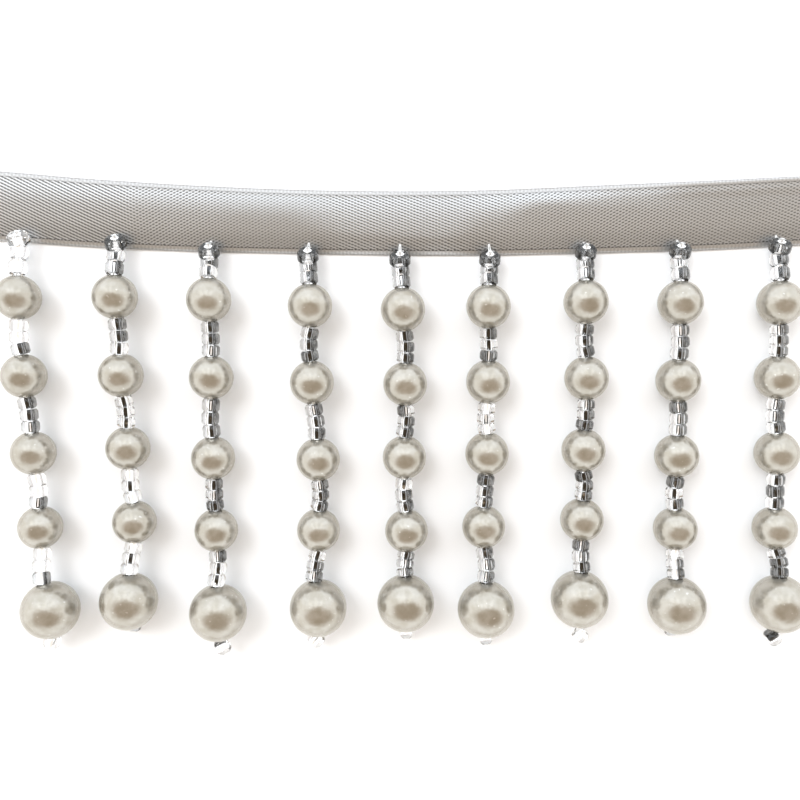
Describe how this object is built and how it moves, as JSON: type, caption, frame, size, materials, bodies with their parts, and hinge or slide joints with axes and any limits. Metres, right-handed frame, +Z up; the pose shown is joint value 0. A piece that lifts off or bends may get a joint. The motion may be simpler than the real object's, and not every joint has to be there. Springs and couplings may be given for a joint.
{
  "type": "beaded fringe trim",
  "caption": "Narrow satin ribbon trim with strings of clear glass seed beads and imitation pearls along its lower edge, laid flat.",
  "frame": {"origin": "middle of the trim's outline seen from above, on the surface that it lies on", "axes": "+X along the ribbon, -Y down the strings from the ribbon to the large pearls, +Z up from the surface"},
  "size_m": [0.1146, 0.0676, 0.008],
  "materials": {
    "satin": "grey satin weave with a soft sheen",
    "glass_beads": "clear glass seed beads with a silver-lined hole, on a clear thread",
    "pearl_coat": "glossy ivory pearl lacquer"
  },
  "bodies": {
    "root": {"ribbon": "satin", "selvedge_with_strings": "glass_beads", "pearl_1_1": "pearl_coat", "pearl_1_2": "pearl_coat", "pearl_1_3": "pearl_coat", "pearl_1_4": "pearl_coat", "pearl_1_5": "pearl_coat", "pearl_2_1": "pearl_coat", "pearl_2_2": "pearl_coat", "pearl_2_3": "pearl_coat", "pearl_2_4": "pearl_coat", "pearl_2_5": "pearl_coat", "pearl_3_1": "pearl_coat", "pearl_3_2": "pearl_coat", "pearl_3_3": "pearl_coat", "pearl_3_4": "pearl_coat", "pearl_3_5": "pearl_coat", "pearl_4_1": "pearl_coat", "pearl_4_2": "pearl_coat", "pearl_4_3": "pearl_coat", "pearl_4_4": "pearl_coat", "pearl_4_5": "pearl_coat", "pearl_5_1": "pearl_coat", "pearl_5_2": "pearl_coat", "pearl_5_3": "pearl_coat", "pearl_5_4": "pearl_coat", "pearl_5_5": "pearl_coat", "pearl_6_1": "pearl_coat", "pearl_6_2": "pearl_coat", "pearl_6_3": "pearl_coat", "pearl_6_4": "pearl_coat", "pearl_6_5": "pearl_coat", "pearl_7_1": "pearl_coat", "pearl_7_2": "pearl_coat", "pearl_7_3": "pearl_coat", "pearl_7_4": "pearl_coat", "pearl_7_5": "pearl_coat", "pearl_8_1": "pearl_coat", "pearl_8_2": "pearl_coat", "pearl_8_3": "pearl_coat", "pearl_8_4": "pearl_coat", "pearl_8_5": "pearl_coat", "pearl_9_1": "pearl_coat", "pearl_9_2": "pearl_coat", "pearl_9_3": "pearl_coat", "pearl_9_4": "pearl_coat", "pearl_9_5": "pearl_coat"}
  },
  "joints": []
}
